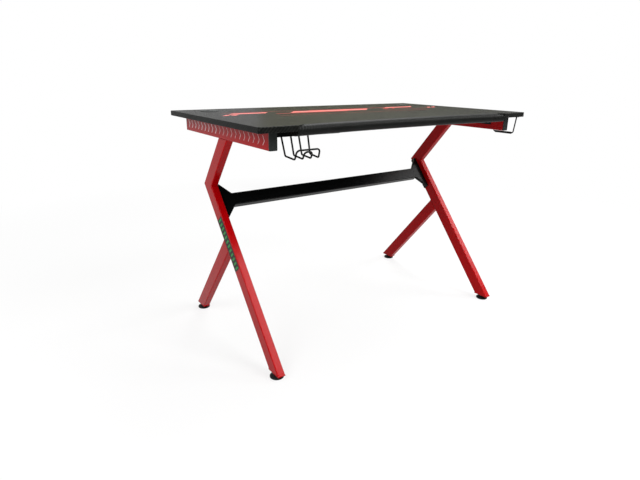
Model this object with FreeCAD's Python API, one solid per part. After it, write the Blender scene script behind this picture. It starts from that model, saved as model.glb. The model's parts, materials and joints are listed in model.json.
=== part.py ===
import FreeCAD, Part
import math
import os
from FreeCAD import Placement, Rotation, Vector

# Gaming desk: a shaped top on two slanted tube frames, tied together by one crossbar.
# Millimetres. X runs to the right, Y to the rear, Z up. The origin is on the floor under the
# middle of the top.

# Desk top
WIDTH = 1104.0  # left end to right end
DEPTH = 632.0  # front edge of either end to the rear edge
HEIGHT = 750.0  # floor to the top face
BOARD_T = 16.0
CORNER_R = 6.0  # corners seen from above
EDGE_TOP_R = 2.0
EDGE_BOTTOM_R = 1.5
NOSE_INSET = 116.0  # end of the top to the end of the thick round front edge
NOSE_T = 30.0
NOSE_BACK = 30.0  # how far the thick edge reaches back behind its round
NOSE_RUNOUT = 36.0  # where the round fades out, at either end of the thick edge
FRONT_HOLLOW = 22.0  # how far the middle of the front is drawn back

# Tube frames
LEG_INSET = 59.0  # end of the top to the middle of a frame
TUBE_D = 45.0  # leg tube, across the leg in the plane of the frame
TUBE_W = 25.0  # leg tube, along X
TUBE_WALL = 1.5
TUBE_R = 3.0
RAIL_H = 50.0
RAIL_W = 25.0
RAIL_FRONT_GAP = 35.0  # front edge of the top to the end of the rail tube
RAIL_REAR_GAP = 24.0  # rear edge of the top to the end of the rail tube
LEAN = math.radians(40.0)  # every slanted tube, from upright
KNEE_DROP = 232.0  # top face to the middle of the knee
KNEE_FROM_REAR = 174.0  # rear edge of the top to the middle of the knee
JOINT_DROP = 164.0  # knee to where the middle lines of the front and rear legs meet

# Rail end caps
CAP_FLANGE_T = 3.0
CAP_PLUG_LEN = 16.0
CAP_PLUG_WALL = 2.0
CAP_CLEARANCE = 0.2
CAP_EDGE_R = 1.0
CAP_PLUG_R = 2.5

# Levelling feet and the plates that close the legs
FOOT_D = 44.0
FOOT_PAD_H = 10.0
FOOT_RIM_H = 5.5
FOOT_EDGE_R = 2.0
FOOT_NECK_D = 16.0
FOOT_NECK_H = 4.0
FOOT_STOP_GAP = 0.2  # neck to plate with the foot screwed right in
STUD_D = 8.0
STUD_LEN = 24.0
STUD_CLEARANCE = 0.3
FOOT_PLATE_T = 3.0
WELD_NUT_AF = 13.0
WELD_NUT_H = 6.5

# Crossbar and its flared brackets
BAR_D = 45.0  # along the leg
BAR_T = 25.0
BAR_WALL = 1.5
BAR_R = 3.0
BAR_BELOW_KNEE = 65.0  # along the leg, knee to the middle of the bar
BAR_END_GAP = 0.3  # bar to the mouth of the flare
BAR_SCREW_PITCH = 20.0
BAR_SCREW_LEN = 10.0
BRACKET_LEN = 144.0  # along the leg, where it meets the leg
BRACKET_REACH = 48.0  # leg to the mouth of the flare
BRACKET_PLATE_T = 4.0
BRACKET_SHEET = 2.5
BRACKET_FLANGE = 12.0  # depth of the folded edges of the flare
SPIGOT_LEN = 32.0  # how far the bracket reaches into the bar
SPIGOT_WALL = 2.5
SPIGOT_BORE_R = 1.0
SPIGOT_CLEARANCE = 0.2  # bar to spigot, all round
BRACKET_BOLT_PITCH = 88.0

# Steel angles that hold the top to the rails
ANGLE_LEN = 380.0
ANGLE_FRONT_GAP = 53.0  # front end of the rail tube to the angle
ANGLE_H = 32.0
ANGLE_W = 30.0
ANGLE_T = 2.5
ANGLE_R = 3.0
ANGLE_SCREW_END = 30.0  # last screw to the end of the angle
BOARD_SCREWS_PER_ANGLE = 4
RAIL_BOLTS_PER_ANGLE = 3
RAIL_BOLT_DROP = 19.0  # underside of the top to the middle of a rail bolt

# Fasteners
BOLT_D = 8.0
BOLT_AF = 13.0
BOLT_HEAD_H = 5.3
BOLT_LEN = 18.0
RAIL_BOLT_D = 6.0
RAIL_BOLT_AF = 10.0
RAIL_BOLT_HEAD_H = 4.0
RAIL_BOLT_LEN = 14.0
SCREW_D = 4.5
SCREW_HEAD_D = 9.0
SCREW_HEAD_H = 3.0
SCREW_IN_BOARD = 11.0
HOLE_CLEARANCE = 0.2  # all round a fastener

# Cable grommets
GROMMET_INSET_X = 104.0  # end of the top to the middle of a grommet
GROMMET_INSET_Y = 92.0  # rear edge of the top to the middle of a grommet
GROMMET_HOLE_D = 54.0
GROMMET_CLEARANCE = 0.2
LINER_FLANGE_D = 62.0
LINER_FLANGE_T = 1.6
LINER_DEPTH = 12.0
LINER_WALL = 2.0
LINER_LEDGE_W = 2.5
LINER_LEDGE_T = 2.0
LID_SEAT_DEPTH = 2.0  # top face of the desk down to the ledge
LID_CLEARANCE = 0.3
LID_TOP_T = 2.0
LID_RIM_T = 1.6
LID_EDGE_R = 0.8
NOTCH_W = 20.0
NOTCH_IN = 14.0  # how far the cable notch reaches in from the rim

# Gamepad rack
RACK_INSET_X = 156.0  # left end of the top to the middle of the rack
RACK_FRONT_GAP = 77.0  # front edge of the top to the bracket's lip
RACK_BRACKET_INSET = 90.0  # left end of the top to the bracket
RACK_BRACKET_W = 218.0
RACK_FLANGE_GAP = 13.0  # left end of the lip to the flange, clear of the steel angle
RACK_BRACKET_D = 32.0
RACK_LIP_H = 22.0
RACK_SHEET = 2.0
RACK_FOLD_R = 1.5
RACK_WIRE_D = 5.0
RACK_OUTER_TOP_W = 88.0  # between the arms of the outer wire, at the bracket
RACK_OUTER_TIP_W = 74.0  # the same at its tip
RACK_INNER_W = 26.0  # between the arms of the inner wire
RACK_BEND_R = 6.0
RACK_TIP_R = 10.0
RACK_UPRIGHT_TOP = 5.0  # underside of the top to the top of a wire
RACK_UPRIGHT_END = 24.0  # underside of the top to the bend below the lip
RACK_DROP = 72.0  # underside of the top to the heel of the tray
RACK_LEAN = 14.6  # forward lean of the uprights over their drop
RACK_TRAY_LEN = 45.0
RACK_TRAY_FALL = 4.0
RACK_OUTER_TIP_RISE = 25.0
RACK_INNER_TIP_RISE = 19.3  # low enough to pass under the outer wire
RACK_TIP_LEAN = 8.4
RACK_SCREW_PITCH = 150.0
RACK_SCREW_BACK = 22.0  # lip to the screws

# Headphone hook
HOOK_INSET_X = 22.0  # right end of the top to the hook
HOOK_FRONT_GAP = 23.0  # front edge of the top to the front of the hook's bar
HOOK_LEN = 83.0
HOOK_DROP = 60.0  # underside of the top to the middle of the bar
HOOK_SPLAY = 7.0  # how far either arm leans out towards the plate
HOOK_WIRE_D = 4.5
HOOK_BEND_R = 7.0
HOOK_SLEEVE_D = 8.0
HOOK_SLEEVE_CLEARANCE = 0.1
HOOK_PLATE_W = 22.0
HOOK_PLATE_T = 2.0
HOOK_PLATE_OVERHANG = 6.0
HOOK_SCREW_PITCH = 40.0

# Places worked out from the sizes above
REAR_Y = DEPTH / 2
FRONT_Y = -DEPTH / 2
UNDER_Z = HEIGHT - BOARD_T
RAIL_BOTTOM_Z = UNDER_Z - RAIL_H
LEG_X = WIDTH / 2 - LEG_INSET
LEG_INNER_X = LEG_X - TUBE_W / 2
RAIL_INNER_X = LEG_X - RAIL_W / 2
RAIL_REAR_Y = REAR_Y - RAIL_REAR_GAP
RAIL_FRONT_Y = FRONT_Y + RAIL_FRONT_GAP
RAIL_LEN = RAIL_REAR_Y - RAIL_FRONT_Y
PLATE_Z = FOOT_PAD_H + FOOT_NECK_H + FOOT_STOP_GAP
LEG_BOTTOM_Z = PLATE_Z + FOOT_PLATE_T
KNEE_Z = HEIGHT - KNEE_DROP
JOINT_Z = KNEE_Z - JOINT_DROP
KNEE = Vector(LEG_X, REAR_Y - KNEE_FROM_REAR, KNEE_Z)
ALONG = Vector(0, math.sin(LEAN), math.cos(LEAN))  # up the front leg, towards the knee
FORWARD = Vector(0, -math.cos(LEAN), math.sin(LEAN))  # out of the front leg's front face
BACK_DOWN = Vector(0, math.sin(LEAN), -math.cos(LEAN))  # down the rear leg
RIGHT = Vector(1, 0, 0)
UP = Vector(0, 0, 1)
JOINT = KNEE - ALONG * (JOINT_DROP / math.cos(LEAN))
BAR_SET_BACK = (TUBE_D - BAR_T) / 2  # puts the bar level with the back of the leg
BAR_CENTRE = KNEE - ALONG * BAR_BELOW_KNEE - FORWARD * BAR_SET_BACK
RACK_CENTRE_X = RACK_INSET_X - WIDTH / 2
FRONT_FOOT_Y = (KNEE - ALONG * ((KNEE_Z - LEG_BOTTOM_Z) / math.cos(LEAN))).y
REAR_FOOT_Y = (JOINT + BACK_DOWN * ((JOINT_Z - LEG_BOTTOM_Z) / math.cos(LEAN))).y
SPAN = 2 * (WIDTH + HEIGHT + DEPTH)  # longer than anything that is trimmed


def box(x, y, z):
    """Block between the two values of each of x, y and z."""
    corner = Vector(min(x), min(y), min(z))
    size = Vector(max(x), max(y), max(z)) - corner
    return Part.makeBox(size.x, size.y, size.z, corner)


def facing(origin, x_axis, z_axis):
    """Placement with its local X and Z along the two directions."""
    return Placement(origin, Rotation(x_axis, z_axis.cross(x_axis), z_axis, "ZXY"))


def placed(shape, placement):
    """Copy of a shape made at the origin, moved to a placement."""
    moved = shape.copy()
    moved.Placement = placement.multiply(moved.Placement)
    return moved


def rounded_rectangle(size_x, size_y, radius):
    """Closed wire round the origin in the XY plane, with round corners."""
    half_x = size_x / 2
    half_y = size_y / 2
    sides = []
    diagonal = radius * (1 - math.sqrt(0.5))
    for sign_x, sign_y in ((1, 1), (-1, 1), (-1, -1), (1, -1)):
        flat_x = sign_x * (half_x - radius)
        flat_y = sign_y * (half_y - radius)
        on_side = Vector(sign_x * half_x, flat_y, 0)
        on_end = Vector(flat_x, sign_y * half_y, 0)
        middle = Vector(sign_x * (half_x - diagonal), sign_y * (half_y - diagonal), 0)
        ends = (on_side, on_end) if sign_x == sign_y else (on_end, on_side)
        sides.append((ends[0], middle, ends[1]))
    edges = []
    for number, (start, middle, end) in enumerate(sides):
        edges.append(Part.Arc(start, middle, end).toShape())
        edges.append(Part.LineSegment(end, sides[(number + 1) % 4][0]).toShape())
    return Part.Wire(edges)


def rounded_bar(size_x, size_y, radius, length):
    """Solid bar along local Z from the origin."""
    return Part.Face(rounded_rectangle(size_x, size_y, radius)).extrude(UP * length)


def tube(size_x, size_y, wall, radius, length):
    """Hollow rectangular tube along local Z from the origin."""
    bore = rounded_bar(size_x - 2 * wall, size_y - 2 * wall, radius - wall, length)
    return rounded_bar(size_x, size_y, radius, length).cut(bore)


def revolved(points):
    """Solid of revolution round Z. A point is (radius, height), and a triple is an arc's middle."""
    corners = [Vector(point[0], 0, point[1]) for point in points]
    is_middle = [len(point) == 3 for point in points]
    edges = []
    number = 0
    while number < len(points) - 1:
        if is_middle[number + 1]:
            arc = Part.Arc(corners[number], corners[number + 1], corners[number + 2])
            edges.append(arc.toShape())
            number += 2
        else:
            edges.append(Part.LineSegment(corners[number], corners[number + 1]).toShape())
            number += 1
    edges.append(Part.LineSegment(corners[-1], corners[0]).toShape())
    return Part.Face(Part.Wire(edges)).revolve(Vector(0, 0, 0), UP, 360)


def quarter(centre_r, centre_z, radius, sign_r, sign_z):
    """Middle point of a quarter arc round a corner, marked as an arc for revolved."""
    reach = radius * math.sqrt(0.5)
    return (centre_r + sign_r * reach, centre_z + sign_z * reach, "arc")


def bent_wire(points, bend_radii, wire_d):
    """Round wire along straight runs joined by tangent bends, one radius for each inner point."""
    edges = []
    start = points[0]
    for before, corner, after, bend_r in zip(points, points[1:], points[2:], bend_radii):
        to_before = (before - corner).normalize()
        to_after = (after - corner).normalize()
        half_angle = to_before.getAngle(to_after) / 2
        trim = bend_r / math.tan(half_angle)
        inward = (to_before + to_after).normalize()
        middle = corner + inward * (bend_r / math.sin(half_angle) - bend_r)
        bend_start = corner + to_before * trim
        bend_end = corner + to_after * trim
        edges.append(Part.LineSegment(start, bend_start).toShape())
        edges.append(Part.Arc(bend_start, middle, bend_end).toShape())
        start = bend_end
    edges.append(Part.LineSegment(start, points[-1]).toShape())
    end = Part.Circle(points[0], points[1] - points[0], wire_d / 2).toShape()
    return Part.Wire(edges).makePipeShell([Part.Wire(end)], True, True)


def hex_bolt(diameter, across_flats, head_h, length):
    """Bolt along local Z: the head below the origin, the shank above it."""
    corner_r = across_flats / math.sqrt(3)
    corners = [Vector(corner_r, 0, -head_h)]
    for step in range(1, 7):
        turn = math.radians(60 * step)
        corners.append(Vector(corner_r * math.cos(turn), corner_r * math.sin(turn), -head_h))
    head = Part.Face(Part.makePolygon(corners)).extrude(UP * head_h)
    return head.fuse(Part.makeCylinder(diameter / 2, length)).removeSplitter()


def pan_screw(length):
    """Screw along local Z: a domed head below the origin, the shank above it."""
    head_r = SCREW_HEAD_D / 2
    shank_r = SCREW_D / 2
    edge_r = SCREW_HEAD_H / 2
    return revolved([
        (0, -SCREW_HEAD_H),
        (head_r - edge_r, -SCREW_HEAD_H),
        quarter(head_r - edge_r, -SCREW_HEAD_H + edge_r, edge_r, 1, -1),
        (head_r, -SCREW_HEAD_H + edge_r),
        (head_r, 0),
        (shank_r, 0),
        (shank_r, length - shank_r),
        (0, length),
    ])


def hole(diameter, start, direction, length):
    """Round clearance hole for a fastener, as the solid to cut away."""
    return Part.makeCylinder(diameter / 2 + HOLE_CLEARANCE, length, start, direction)


def mirrored(shape):
    """The same piece on the left side of the desk."""
    return shape.mirror(Vector(0, 0, 0), RIGHT)


def spread(first, last, count):
    """Evenly spaced values from first to last."""
    return [first + (last - first) * number / (count - 1) for number in range(count)]


def above(z):
    """Everything over a level, for trimming."""
    return box((-SPAN, SPAN), (-SPAN, SPAN), (z, z + SPAN))


def between(low_z, high_z):
    """Everything between two levels, for trimming."""
    return box((-SPAN, SPAN), (-SPAN, SPAN), (low_z, high_z))


def leg_tube(through, direction):
    """Leg tube whose middle line passes through a point, longer than any leg both ways."""
    blank = tube(TUBE_W, TUBE_D, TUBE_WALL, TUBE_R, SPAN)
    return placed(blank, facing(through - direction * (SPAN / 2), RIGHT, direction))


# Places of the screws, used for the holes and for the fasteners
RACK_Y = FRONT_Y + RACK_FRONT_GAP
ANGLE_FRONT_Y = RAIL_FRONT_Y + ANGLE_FRONT_GAP
ANGLE_REAR_Y = ANGLE_FRONT_Y + ANGLE_LEN
ANGLE_ENDS = (ANGLE_FRONT_Y + ANGLE_SCREW_END, ANGLE_REAR_Y - ANGLE_SCREW_END)
ANGLE_MIDDLE_X = RAIL_INNER_X - (ANGLE_W + ANGLE_T) / 2
BOARD_SCREW_SPOTS = [
    Vector(ANGLE_MIDDLE_X, y, UNDER_Z - ANGLE_T) for y in spread(*ANGLE_ENDS, BOARD_SCREWS_PER_ANGLE)
]
RAIL_BOLT_SPOTS = [
    Vector(RAIL_INNER_X - ANGLE_T, y, UNDER_Z - RAIL_BOLT_DROP)
    for y in spread(*ANGLE_ENDS, RAIL_BOLTS_PER_ANGLE)
]
RACK_FLANGE_MIDDLE_X = RACK_BRACKET_INSET + (RACK_BRACKET_W + RACK_FLANGE_GAP - WIDTH) / 2
RACK_SCREW_SPOTS = [
    Vector(RACK_FLANGE_MIDDLE_X + side * RACK_SCREW_PITCH / 2, RACK_Y + RACK_SCREW_BACK, UNDER_Z - RACK_SHEET)
    for side in (-1, 1)
]
HOOK_X = WIDTH / 2 - HOOK_INSET_X
HOOK_FRONT_Y = FRONT_Y + HOOK_FRONT_GAP
HOOK_REAR_Y = HOOK_FRONT_Y + HOOK_LEN
HOOK_SCREW_SPOTS = [
    Vector(HOOK_X, (HOOK_FRONT_Y + HOOK_REAR_Y + side * HOOK_SCREW_PITCH) / 2, UNDER_Z - HOOK_PLATE_T)
    for side in (-1, 1)
]
BRACKET_BOLT_SPOTS = [
    BAR_CENTRE + ALONG * (side * BRACKET_BOLT_PITCH / 2) - RIGHT * (TUBE_W / 2 + BRACKET_PLATE_T)
    for side in (-1, 1)
]
SPIGOT_MIDDLE = BAR_CENTRE - RIGHT * (TUBE_W / 2 + BRACKET_REACH + SPIGOT_LEN / 2)
BAR_SCREW_SPOTS = [
    SPIGOT_MIDDLE + ALONG * (side * BAR_SCREW_PITCH / 2) - FORWARD * (BAR_T / 2)
    for side in (-1, 1)
]
GROMMET_X = WIDTH / 2 - GROMMET_INSET_X
GROMMET_Y = REAR_Y - GROMMET_INSET_Y


def board_nose():
    """Thick half-round front edge of the top, along the hollow of its front, and the room it takes."""
    half_w = WIDTH / 2 - NOSE_INSET
    nose_r = NOSE_T / 2
    arc_r = (half_w**2 + FRONT_HOLLOW**2) / (2 * FRONT_HOLLOW)
    centre = Vector(0, FRONT_Y + FRONT_HOLLOW - arc_r, 0)
    front_y = FRONT_Y + FRONT_HOLLOW
    root_y = front_y + nose_r
    back_y = root_y + NOSE_BACK
    bottom_z = HEIGHT - NOSE_T
    top = Vector(0, root_y, HEIGHT)
    bottom = Vector(0, root_y, bottom_z)
    round_edge = Part.Arc(top, Vector(0, front_y, HEIGHT - nose_r), bottom).toShape()
    step = [bottom, Vector(0, back_y, bottom_z), Vector(0, back_y, UNDER_Z), Vector(0, root_y, UNDER_Z), top]
    section = Part.Face(Part.Wire([round_edge] + Part.makePolygon(step).Edges))
    half_turn = math.degrees(math.asin(half_w / arc_r))
    section.rotate(centre, UP, -half_turn)
    nose = section.revolve(centre, UP, 2 * half_turn)

    inner_x = half_w - NOSE_RUNOUT
    inner_y = centre.y + math.sqrt((arc_r + nose_r) ** 2 - inner_x**2)
    outer_y = FRONT_Y - NOSE_T
    left = Vector(-inner_x, inner_y, UNDER_Z)
    right = Vector(inner_x, inner_y, UNDER_Z)
    inner_edge = Part.Arc(left, Vector(0, root_y, UNDER_Z), right).toShape()
    outline = [
        right,
        Vector(half_w, FRONT_Y, UNDER_Z),
        Vector(half_w, outer_y, UNDER_Z),
        Vector(-half_w, outer_y, UNDER_Z),
        Vector(-half_w, FRONT_Y, UNDER_Z),
        left,
    ]
    room = Part.Face(Part.Wire([inner_edge] + Part.makePolygon(outline).Edges)).extrude(UP * BOARD_T)
    return nose, room


def board():
    """The top: a board with eased edges, a thick round front edge and two cable holes."""
    slab = box((-WIDTH / 2, WIDTH / 2), (FRONT_Y, REAR_Y), (UNDER_Z, HEIGHT))
    slab = slab.makeFillet(CORNER_R, [edge for edge in slab.Edges if edge.BoundBox.ZLength > BOARD_T / 2])
    for radius, level in ((EDGE_TOP_R, HEIGHT), (EDGE_BOTTOM_R, UNDER_Z)):
        rim = [edge for edge in slab.Edges if all(abs(v.Z - level) < 0.001 for v in edge.Vertexes)]
        slab = slab.makeFillet(radius, rim)
    nose, room = board_nose()
    slab = slab.cut(room).fuse(nose).removeSplitter()
    for x in (-GROMMET_X, GROMMET_X):
        slab = slab.cut(Part.makeCylinder(GROMMET_HOLE_D / 2, BOARD_T, Vector(x, GROMMET_Y, UNDER_Z)))
    depth = SCREW_IN_BOARD + HOLE_CLEARANCE
    for spot in BOARD_SCREW_SPOTS:
        pilot = hole(SCREW_D, Vector(spot.x, spot.y, UNDER_Z), UP, depth)
        slab = slab.cut(pilot).cut(mirrored(pilot))
    for spot in RACK_SCREW_SPOTS + HOOK_SCREW_SPOTS:
        slab = slab.cut(hole(SCREW_D, Vector(spot.x, spot.y, UNDER_Z), UP, depth))
    return slab


def top_rail():
    """Rail tube under the right end of the top, drilled for the bolts of the steel angle."""
    rail = placed(
        tube(RAIL_W, RAIL_H, TUBE_WALL, TUBE_R, RAIL_LEN),
        facing(Vector(LEG_X, RAIL_FRONT_Y, UNDER_Z - RAIL_H / 2), RIGHT, Vector(0, 1, 0)),
    )
    for spot in RAIL_BOLT_SPOTS:
        rail = rail.cut(hole(RAIL_BOLT_D, spot, RIGHT, ANGLE_T + 2 * TUBE_WALL))
    return rail


def rail_cap():
    """Plastic cap, made with its flange at the origin and its hollow plug along local Z."""
    bore_x = RAIL_W - 2 * TUBE_WALL - 2 * CAP_CLEARANCE
    bore_y = RAIL_H - 2 * TUBE_WALL - 2 * CAP_CLEARANCE
    flange = rounded_bar(RAIL_W, RAIL_H, TUBE_R, CAP_FLANGE_T)
    outer_edges = [edge for edge in flange.Edges if all(abs(v.Z) < 0.001 for v in edge.Vertexes)]
    flange = flange.makeFillet(CAP_EDGE_R, outer_edges)
    plug = tube(bore_x, bore_y, CAP_PLUG_WALL, CAP_PLUG_R, CAP_PLUG_LEN)
    return flange.fuse(placed(plug, Placement(UP * CAP_FLANGE_T, Rotation()))).removeSplitter()


def main_leg():
    """Front leg: from the level cut at its foot to the level mitre at the knee."""
    leg = leg_tube(KNEE, ALONG).common(between(LEG_BOTTOM_Z, KNEE_Z))
    for spot in BRACKET_BOLT_SPOTS:
        leg = leg.cut(hole(BOLT_D, spot, RIGHT, BRACKET_PLATE_T + 2 * TUBE_WALL))
    return leg


def upper_arm():
    """Upper arm: from the mitre at the knee forward and up to the underside of the rail."""
    return leg_tube(KNEE, Vector(0, -ALONG.y, ALONG.z)).common(between(KNEE_Z, RAIL_BOTTOM_Z))


def rear_leg():
    """Rear leg: cut level at its foot and fitted to the rear face of the front leg."""
    behind = placed(
        box((-SPAN, SPAN), (-SPAN, SPAN), (0, SPAN)),
        facing(JOINT - FORWARD * (TUBE_D / 2), RIGHT, FORWARD * -1),
    )
    return leg_tube(JOINT, BACK_DOWN).common(behind).common(above(LEG_BOTTOM_Z))


def foot_plate(y):
    """Plate that closes the foot of a leg, with the weld nut for the levelling stud."""
    plate_d = TUBE_D / math.cos(LEAN)
    plate = box(
        (LEG_X - TUBE_W / 2, LEG_X + TUBE_W / 2),
        (y - plate_d / 2, y + plate_d / 2),
        (PLATE_Z, LEG_BOTTOM_Z),
    )
    nut_r = WELD_NUT_AF / math.sqrt(3)
    nut_corners = []
    for step in range(7):
        turn = math.radians(60 * step)
        nut_corners.append(Vector(LEG_X + nut_r * math.cos(turn), y + nut_r * math.sin(turn), LEG_BOTTOM_Z))
    nut = Part.Face(Part.makePolygon(nut_corners)).extrude(UP * WELD_NUT_H)
    bore = Part.makeCylinder(
        STUD_D / 2 + STUD_CLEARANCE, FOOT_PLATE_T + WELD_NUT_H, Vector(LEG_X, y, PLATE_Z)
    )
    return plate.fuse(nut).cut(bore)


def levelling_foot(y):
    """Moulded foot with its stud, screwed right in."""
    pad_r = FOOT_D / 2
    neck_r = FOOT_NECK_D / 2
    shoulder_z = FOOT_PAD_H + FOOT_NECK_H
    dome = quarter(pad_r - FOOT_EDGE_R, FOOT_RIM_H - FOOT_EDGE_R, FOOT_EDGE_R, 1, 1)
    foot = revolved([
        (0, 0),
        (pad_r - FOOT_EDGE_R, 0),
        quarter(pad_r - FOOT_EDGE_R, FOOT_EDGE_R, FOOT_EDGE_R, 1, -1),
        (pad_r, FOOT_EDGE_R),
        (pad_r, FOOT_RIM_H - FOOT_EDGE_R),
        dome,
        (pad_r - FOOT_EDGE_R, FOOT_RIM_H),
        (neck_r, FOOT_PAD_H),
        (neck_r, shoulder_z),
        (STUD_D / 2, shoulder_z),
        (STUD_D / 2, shoulder_z + STUD_LEN),
        (0, shoulder_z + STUD_LEN),
    ])
    foot.translate(Vector(LEG_X, y, 0))
    return foot


def crossbar():
    """Tube between the two frames, its broad face parallel to the front legs."""
    bar_end_x = LEG_INNER_X - BRACKET_REACH - BAR_END_GAP
    bar = placed(
        tube(BAR_D, BAR_T, BAR_WALL, BAR_R, 2 * bar_end_x),
        facing(Vector(-bar_end_x, BAR_CENTRE.y, BAR_CENTRE.z), ALONG, RIGHT),
    )
    for spot in BAR_SCREW_SPOTS:
        drilled = hole(SCREW_D, spot, FORWARD, BAR_SCREW_LEN)
        bar = bar.cut(drilled).cut(mirrored(drilled))
    return bar


def crossbar_bracket():
    """Flared bracket on the right front leg: bolted plate, folded flare, and a spigot inside the bar."""
    root_x = LEG_INNER_X - BRACKET_PLATE_T
    mouth_x = LEG_INNER_X - BRACKET_REACH
    skin = 2 * BRACKET_SHEET
    front = BAR_T / 2  # the flare is level with the front of the bar, and open at its rear
    room = 2 * TUBE_D

    def at(x, shift=0):
        centre = Vector(x, BAR_CENTRE.y, BAR_CENTRE.z) + FORWARD * shift
        return facing(centre, ALONG, RIGHT * -1)

    def flare(root_along, mouth_along, depth, shift):
        return Part.makeLoft([
            placed(rounded_rectangle(root_along, depth, BAR_R), at(root_x, shift)),
            placed(rounded_rectangle(mouth_along, depth, BAR_R), at(mouth_x, shift)),
        ], True, True)

    outside = flare(BRACKET_LEN, BAR_D, BRACKET_FLANGE, front - BRACKET_FLANGE / 2)
    inside = flare(BRACKET_LEN - skin, BAR_D - skin, room, front - BRACKET_SHEET - room / 2)
    plate = placed(rounded_bar(BRACKET_LEN, BAR_T, BAR_R, BRACKET_PLATE_T), at(LEG_INNER_X))
    mouth = placed(rounded_bar(BAR_D, BAR_T, BAR_R, BRACKET_SHEET), at(mouth_x + BRACKET_SHEET))
    slack = 2 * (BAR_WALL + SPIGOT_CLEARANCE)
    bore = slack + 2 * SPIGOT_WALL
    spigot_r = BAR_R - slack / 2
    spigot = rounded_bar(BAR_D - slack, BAR_T - slack, spigot_r, SPIGOT_LEN).cut(
        rounded_bar(BAR_D - bore, BAR_T - bore, SPIGOT_BORE_R, SPIGOT_LEN)
    )
    bracket = outside.cut(inside).fuse([plate, mouth, placed(spigot, at(mouth_x))])
    for spot in BRACKET_BOLT_SPOTS:
        bracket = bracket.cut(hole(BOLT_D, spot, RIGHT, BRACKET_PLATE_T))
    for spot in BAR_SCREW_SPOTS:
        bracket = bracket.cut(hole(SCREW_D, spot, FORWARD, BAR_SCREW_LEN))
    return bracket.removeSplitter()


def fixing_angle():
    """Steel angle on the inner face of the right rail, under the top."""
    root = Vector(RAIL_INNER_X, ANGLE_FRONT_Y, UNDER_Z)
    outer = [
        root,
        root - RIGHT * ANGLE_W,
        root - RIGHT * ANGLE_W - UP * ANGLE_T,
        root - RIGHT * ANGLE_T - UP * ANGLE_T,
        root - RIGHT * ANGLE_T - UP * ANGLE_H,
        root - UP * ANGLE_H,
        root,
    ]
    angle = Part.Face(Part.makePolygon(outer)).extrude(Vector(0, ANGLE_LEN, 0))
    inside_bend = [
        edge for edge in angle.Edges
        if all(
            math.hypot(v.X - outer[3].x, v.Z - outer[3].z) < 0.001
            for v in edge.Vertexes
        )
    ]
    angle = angle.makeFillet(ANGLE_R, inside_bend)
    for spot in BOARD_SCREW_SPOTS:
        angle = angle.cut(hole(SCREW_D, spot, UP, ANGLE_T))
    for spot in RAIL_BOLT_SPOTS:
        angle = angle.cut(hole(RAIL_BOLT_D, spot, RIGHT, ANGLE_T))
    return angle


def grommet_liner(x):
    """Flanged sleeve in the cable hole, with the ledge that carries the lid."""
    sleeve_r = GROMMET_HOLE_D / 2 - GROMMET_CLEARANCE
    seat_r = sleeve_r - LINER_WALL
    ledge_r = seat_r - LINER_LEDGE_W
    flange_r = LINER_FLANGE_D / 2
    edge_r = LINER_FLANGE_T / 2
    ledge_z = HEIGHT - LID_SEAT_DEPTH
    liner = revolved([
        (sleeve_r, HEIGHT - LINER_DEPTH),
        (sleeve_r, HEIGHT),
        (flange_r, HEIGHT),
        (flange_r, HEIGHT + LINER_FLANGE_T - edge_r),
        quarter(flange_r - edge_r, HEIGHT + LINER_FLANGE_T - edge_r, edge_r, 1, 1),
        (flange_r - edge_r, HEIGHT + LINER_FLANGE_T),
        (seat_r, HEIGHT + LINER_FLANGE_T),
        (seat_r, ledge_z),
        (ledge_r, ledge_z),
        (ledge_r, ledge_z - LINER_LEDGE_T),
        (seat_r, ledge_z - LINER_LEDGE_T),
        (seat_r, HEIGHT - LINER_DEPTH),
    ])
    liner.translate(Vector(x, GROMMET_Y, 0))
    return liner


def grommet_lid(x):
    """Lid that turns in its liner: a shallow cup, upside down, with a notch for cables."""
    lid_r = GROMMET_HOLE_D / 2 - GROMMET_CLEARANCE - LINER_WALL - LID_CLEARANCE
    top_z = HEIGHT + LINER_FLANGE_T
    foot_z = HEIGHT - LID_SEAT_DEPTH + LID_CLEARANCE / 2
    lid = revolved([
        (0, top_z),
        (0, top_z - LID_TOP_T),
        (lid_r - LID_RIM_T, top_z - LID_TOP_T),
        (lid_r - LID_RIM_T, foot_z),
        (lid_r, foot_z),
        (lid_r, top_z - LID_EDGE_R),
        quarter(lid_r - LID_EDGE_R, top_z - LID_EDGE_R, LID_EDGE_R, 1, 1),
        (lid_r - LID_EDGE_R, top_z),
    ])
    notch_end_y = lid_r - NOTCH_IN + NOTCH_W / 2
    notch_z = (foot_z - LID_TOP_T, top_z + LID_TOP_T)
    notch = box((-NOTCH_W / 2, NOTCH_W / 2), (notch_end_y, 2 * lid_r), notch_z)
    round_end = Part.makeCylinder(NOTCH_W / 2, notch_z[1] - notch_z[0], Vector(0, notch_end_y, notch_z[0]))
    lid = lid.cut(notch.fuse(round_end))
    lid.translate(Vector(x, GROMMET_Y, 0))
    return lid


def rack_bracket():
    """Folded steel bracket under the front of the top, with a lip in front of the rack's wires."""
    left_x = RACK_BRACKET_INSET - WIDTH / 2
    right_x = left_x + RACK_BRACKET_W
    flange_x = (left_x + RACK_FLANGE_GAP, right_x)
    flange = box(flange_x, (RACK_Y, RACK_Y + RACK_BRACKET_D), (UNDER_Z - RACK_SHEET, UNDER_Z))
    lip = box((left_x, right_x), (RACK_Y, RACK_Y + RACK_SHEET), (UNDER_Z - RACK_LIP_H, UNDER_Z))
    bracket = flange.fuse(lip).removeSplitter()
    fold = [
        edge for edge in bracket.Edges
        if all(math.hypot(v.Y - RACK_Y, v.Z - UNDER_Z) < 0.001 for v in edge.Vertexes)
    ]
    bracket = bracket.makeFillet(RACK_FOLD_R, fold)
    for spot in RACK_SCREW_SPOTS:
        bracket = bracket.cut(hole(SCREW_D, spot, UP, RACK_SHEET))
    return bracket


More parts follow.
